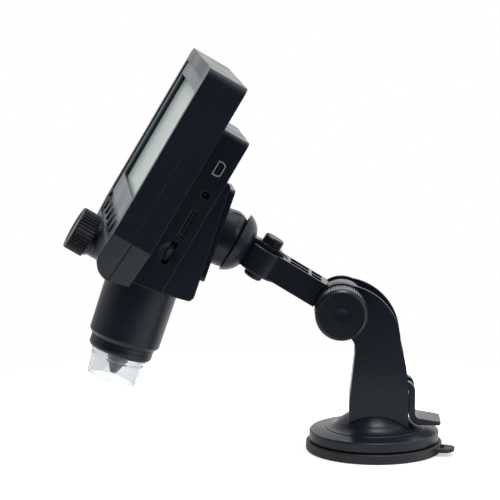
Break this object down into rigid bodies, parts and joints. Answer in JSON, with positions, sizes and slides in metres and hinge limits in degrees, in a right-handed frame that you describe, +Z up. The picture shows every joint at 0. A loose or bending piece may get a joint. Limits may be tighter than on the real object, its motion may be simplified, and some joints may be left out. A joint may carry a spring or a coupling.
{
  "type": "handheld lcd digital microscope",
  "caption": "Handheld digital microscope with a built-in screen, held by a ball joint on a short folding arm above a suction foot",
  "frame": {"origin": "centre of the suction foot, on the surface it holds to", "axes": "+Z up from that surface, -X along the arm towards the head, -Y the side of the clamp knob; the stand is symmetric about y = 0"},
  "size_m": [0.1808, 0.1229, 0.183],
  "materials": {
    "black_rubber": "moulded black rubber, slightly glossy",
    "stand_plastic": "glossy black moulded plastic of the stand",
    "head_plastic": "fine satin blue-black moulded plastic of the head",
    "knob_plastic": "satin black plastic with fine ridges",
    "panel_grey": "glossy grey front panel",
    "screen": "unlit pale grey display under glass",
    "key_rubber": "soft dark grey key",
    "clear_plastic": "clear moulded plastic",
    "lens_glass": "coated lens glass",
    "steel": "plated steel",
    "bright_metal": "bright plated metal",
    "washer_steel": "spring steel",
    "nylon": "natural nylon",
    "circuit_board": "green solder mask",
    "white_board": "white solder mask",
    "chip_black": "moulded chip package",
    "battery_wrap": "shrink-wrapped cell",
    "ribbon_film": "amber polyimide film",
    "led_white": "white light-emitting diode"
  },
  "bodies": {
    "stand": {"suction_cup": "black_rubber", "base_cover": "stand_plastic", "column": "stand_plastic", "column_screws": "steel", "lever_pin": "steel", "clamp_bolt": "steel"},
    "lever": {"lever": "stand_plastic"},
    "pull_stud": {"pull_stud": "steel"},
    "clamp_knob": {"clamp_knob": "knob_plastic", "clamp_cap": "stand_plastic"},
    "arm": {"arm": "stand_plastic", "swivel_pin": "knob_plastic", "swivel_nut": "knob_plastic", "friction_washers": "washer_steel"},
    "neck": {"neck": "stand_plastic"},
    "ball_seat": {"ball_seat": "nylon"},
    "key_1": {"key_1": "key_rubber"},
    "key_2": {"key_2": "key_rubber"},
    "key_3": {"key_3": "key_rubber"},
    "key_4": {"key_4": "key_rubber"},
    "key_5": {"key_5": "key_rubber"},
    "key_6": {"key_6": "key_rubber"},
    "dimmer_wheel": {"dimmer_wheel": "knob_plastic"},
    "memory_card": {"memory_card": "chip_black"},
    "clear_cap": {"clear_cap": "clear_plastic"},
    "focus_knob": {"focus_knob": "knob_plastic", "focus_shaft": "steel"},
    "lens_carriage": {"lens_carriage": "knob_plastic", "lens_group": "lens_glass", "sensor_board": "circuit_board"},
    "head": {"collar": "stand_plastic", "mount_plate": "stand_plastic", "collar_screws": "steel", "rear_cover": "head_plastic", "port_housing": "head_plastic", "back_case": "head_plastic", "case_screws": "steel", "front_case": "head_plastic", "front_panel": "panel_grey", "lcd_panel": "screen", "lcd_frame": "steel", "key_board": "circuit_board", "main_board": "circuit_board", "board_chips": "chip_black", "display_ribbon": "ribbon_film", "battery": "battery_wrap", "port_board": "circuit_board", "usb_socket": "bright_metal", "usb_insert": "chip_black", "av_jack": "chip_black", "card_socket": "steel", "reset_switch": "chip_black", "dimmer_pot": "chip_black", "barrel": "head_plastic", "barrel_ring": "knob_plastic", "lens_nose": "knob_plastic", "front_lens": "lens_glass", "led_board": "white_board", "leds": "led_white", "focus_bush": "knob_plastic"}
  },
  "joints": [
    {"name": "lever_flip", "type": "hinge", "parent": "stand", "child": "lever", "pos_m": [0.0143, 0, 0.0293], "axis": [0, -1, 0], "range_deg": [0, 90]},
    {"name": "stud_pull", "type": "slide", "parent": "stand", "child": "pull_stud", "axis": [0, 0, -1], "range_m": [0, 0.0024]},
    {"name": "clamp_turn", "type": "hinge", "parent": "stand", "child": "clamp_knob", "pos_m": [-0.0156, 0, 0.0678], "axis": [0, -1, 0], "continuous": true},
    {"name": "arm_tilt", "type": "hinge", "parent": "stand", "child": "arm", "pos_m": [-0.0156, 0, 0.0678], "axis": [0, 1, 0], "range_deg": [-12, 28]},
    {"name": "arm_swivel", "type": "hinge", "parent": "arm", "child": "neck", "pos_m": [-0.05196, 0, 0.08973], "axis": [0.5165, 0, 0.8563], "range_deg": [-15, 15]},
    {"name": "ball_tilt", "type": "hinge", "parent": "neck", "child": "ball_seat", "pos_m": [-0.06703, 0, 0.09882], "axis": [0, 1, 0], "range_deg": [-5, 29]},
    {"name": "ball_turn", "type": "hinge", "parent": "ball_seat", "child": "head", "pos_m": [-0.06703, 0, 0.09882], "axis": [0.9373, 0.1124, -0.33], "range_deg": [-90, 90]},
    {"name": "key_1_press", "type": "slide", "parent": "head", "child": "key_1", "axis": [0.8537, 0.1024, -0.5105], "range_m": [0, 0.0005], "stiffness_N_per_m": 1500, "springref_m": -0.0004},
    {"name": "key_2_press", "type": "slide", "parent": "head", "child": "key_2", "axis": [0.8537, 0.1024, -0.5105], "range_m": [0, 0.0005], "stiffness_N_per_m": 1500, "springref_m": -0.0004},
    {"name": "key_3_press", "type": "slide", "parent": "head", "child": "key_3", "axis": [0.8537, 0.1024, -0.5105], "range_m": [0, 0.0005], "stiffness_N_per_m": 1500, "springref_m": -0.0004},
    {"name": "key_4_press", "type": "slide", "parent": "head", "child": "key_4", "axis": [0.8537, 0.1024, -0.5105], "range_m": [0, 0.0005], "stiffness_N_per_m": 1500, "springref_m": -0.0004},
    {"name": "key_5_press", "type": "slide", "parent": "head", "child": "key_5", "axis": [0.8537, 0.1024, -0.5105], "range_m": [0, 0.0005], "stiffness_N_per_m": 1500, "springref_m": -0.0004},
    {"name": "key_6_press", "type": "slide", "parent": "head", "child": "key_6", "axis": [0.8537, 0.1024, -0.5105], "range_m": [0, 0.0005], "stiffness_N_per_m": 1500, "springref_m": -0.0004},
    {"name": "dimmer_turn", "type": "hinge", "parent": "head", "child": "dimmer_wheel", "pos_m": [-0.09375, -0.0304, 0.09833], "axis": [0.8537, 0.1024, -0.5105], "range_deg": [0, 270]},
    {"name": "focus_turn", "type": "hinge", "parent": "head", "child": "focus_knob", "pos_m": [-0.12891, -0.00742, 0.09975], "axis": [0.8537, 0.1024, -0.5105], "range_deg": [-40, 40]},
    {"name": "focus_slide", "type": "slide", "parent": "head", "child": "lens_carriage", "axis": [-0.3134, -0.0376, -0.9489], "range_m": [-0.0017, 0.0017]},
    {"name": "card_out", "type": "slide", "parent": "head", "child": "memory_card", "axis": [0.1191, -0.9929, 0], "range_m": [0, 0.01]},
    {"name": "cap_off", "type": "slide", "parent": "head", "child": "clear_cap", "axis": [-0.3134, -0.0376, -0.9489], "range_m": [0, 0.012]}
  ],
  "couplings": [
    {"joint": "lever_flip", "follows": "stud_pull", "rad_per_m": 653.36},
    {"joint": "focus_turn", "follows": "focus_slide", "rad_per_m": -409.26}
  ]
}
